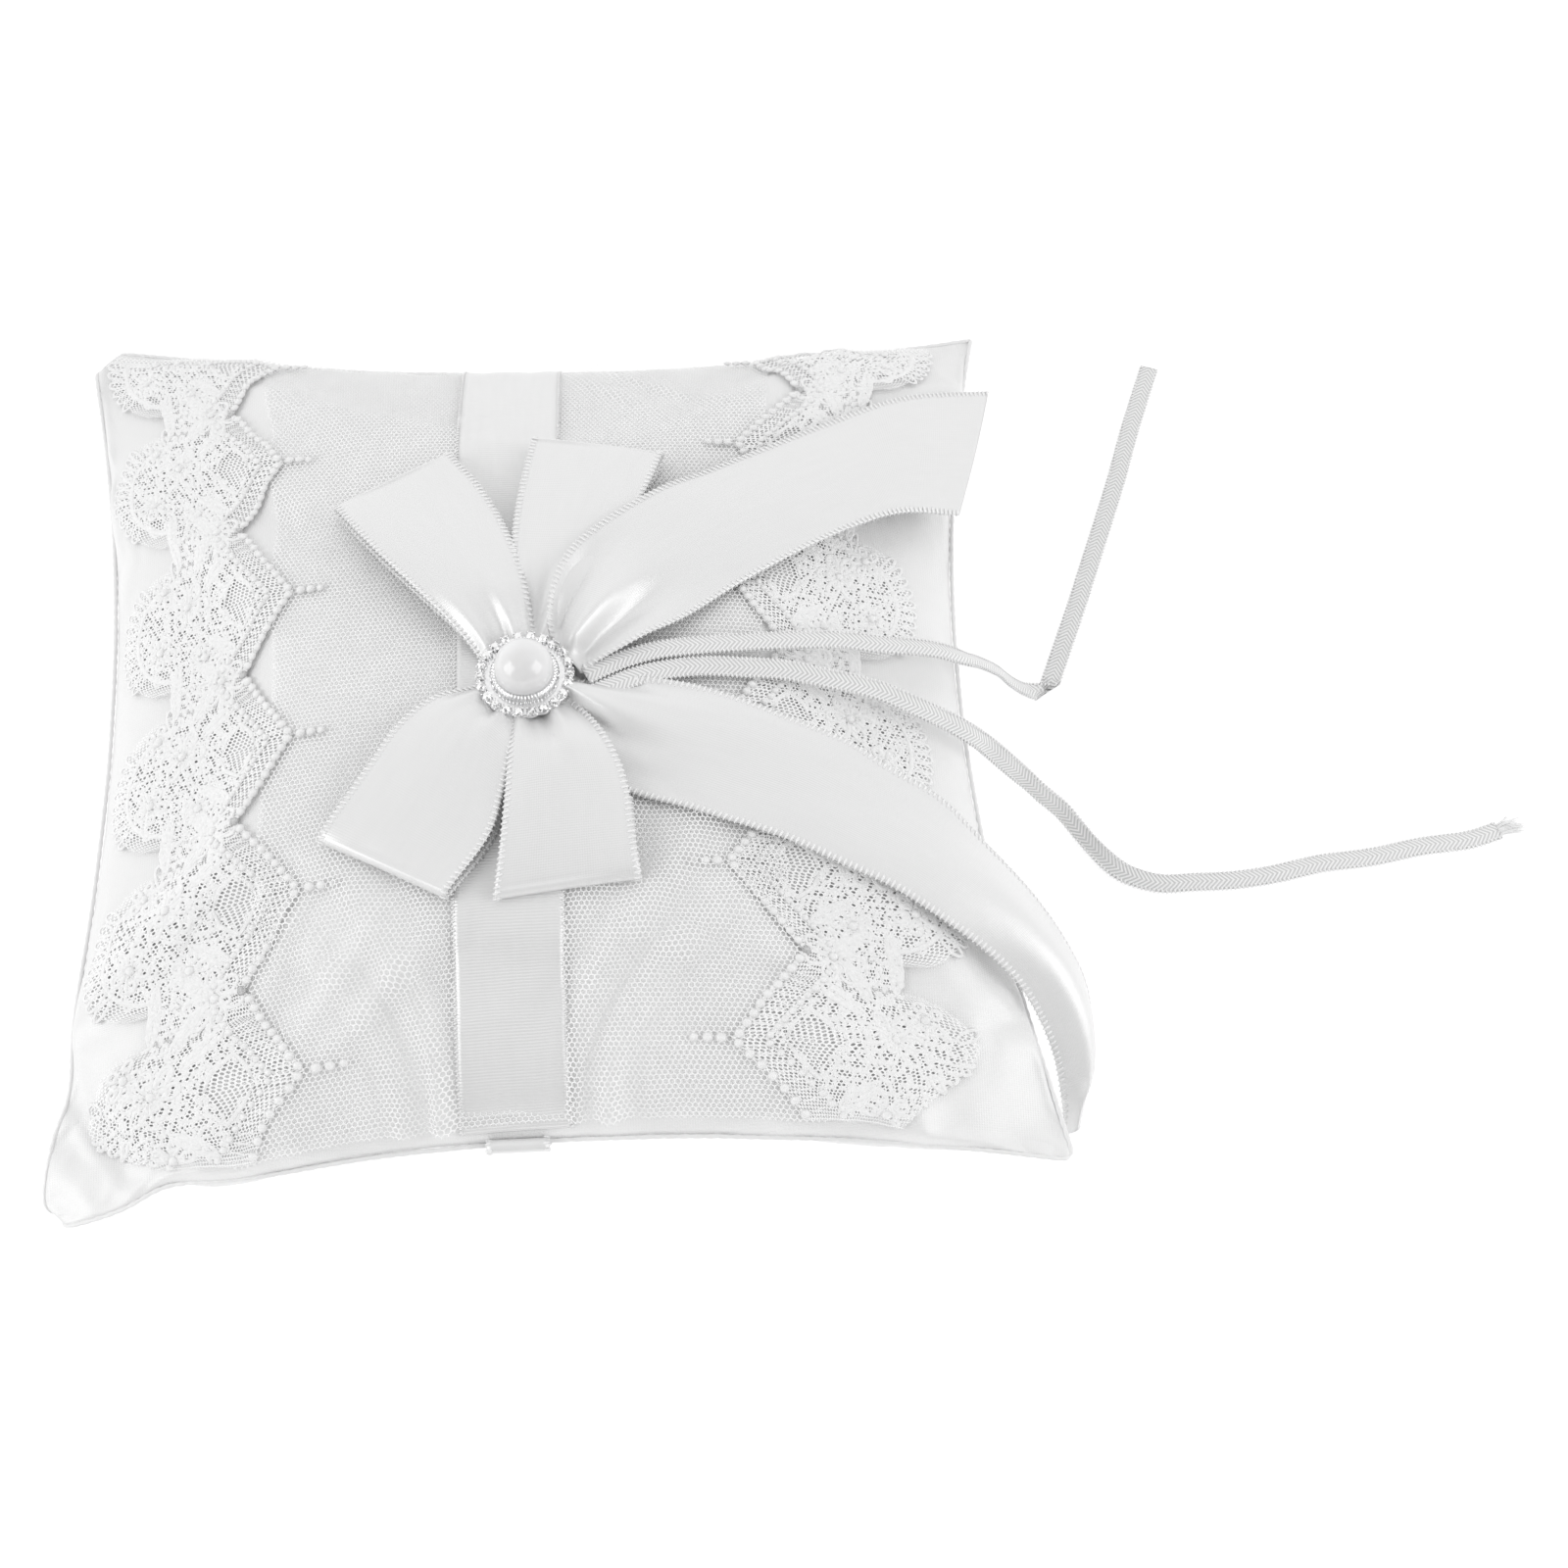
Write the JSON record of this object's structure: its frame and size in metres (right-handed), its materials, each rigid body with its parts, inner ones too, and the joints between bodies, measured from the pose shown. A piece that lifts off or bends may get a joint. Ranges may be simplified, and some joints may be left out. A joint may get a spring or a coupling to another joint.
{
  "type": "ring bearer pillow",
  "caption": "Square padded satin pillow with a tulle and lace front, a ribbon bow under a pearl brooch and two thin ribbons that tie wedding rings on.",
  "frame": {"origin": "on the flat resting face of the back, under the middle of the pillow", "axes": "+X to the right of the front, +Y towards the top edge, +Z out of the front"},
  "size_m": [0.3122, 0.2151, 0.0602],
  "materials": {
    "satin_cover": "smooth white satin weave",
    "fibre_fill": "loose white polyester fibre",
    "satin_ribbon": "glossy white satin ribbon with stitched edges",
    "band_ribbon": "white satin band with fine cross ribs",
    "tulle_net": "fine white hexagonal net",
    "lace": "chunky white embroidered lace",
    "tie_satin": "narrow white satin ribbon",
    "thread": "white sewing thread",
    "silver_metal": "bright silver plate",
    "rhinestone": "clear faceted stones with foil backs",
    "pearl": "pearl lacquer"
  },
  "bodies": {
    "pillow": {"front_cover": "satin_cover", "back_cover": "satin_cover", "fibre_filling": "fibre_fill", "edge_seam": "satin_cover", "hand_strap": "satin_ribbon", "tulle_overlay": "tulle_net", "lace_trim_left": "lace", "lace_trim_right": "lace", "centre_band": "band_ribbon", "bow_loop_upper_left": "satin_ribbon", "bow_loop_upper": "satin_ribbon", "bow_loop_lower_left": "satin_ribbon", "bow_loop_lower": "satin_ribbon", "bow_tail_upper": "satin_ribbon", "bow_tail_lower": "satin_ribbon", "bow_knot": "satin_ribbon", "anchor_thread": "thread", "tie_ribbon_upper": "tie_satin", "tie_ribbon_lower": "tie_satin", "tie_end_tuft": "tie_satin"},
    "brooch": {"brooch_shank": "silver_metal", "brooch_base": "silver_metal", "brooch_bezel": "silver_metal", "rhinestones": "rhinestone", "pearl": "pearl"}
  },
  "joints": [
    {"name": "brooch_turn", "type": "hinge", "parent": "pillow", "child": "brooch", "pos_m": [-0.002, -0.01, 0.05], "axis": [0, 0, 1], "range_deg": [-25, 25]}
  ]
}
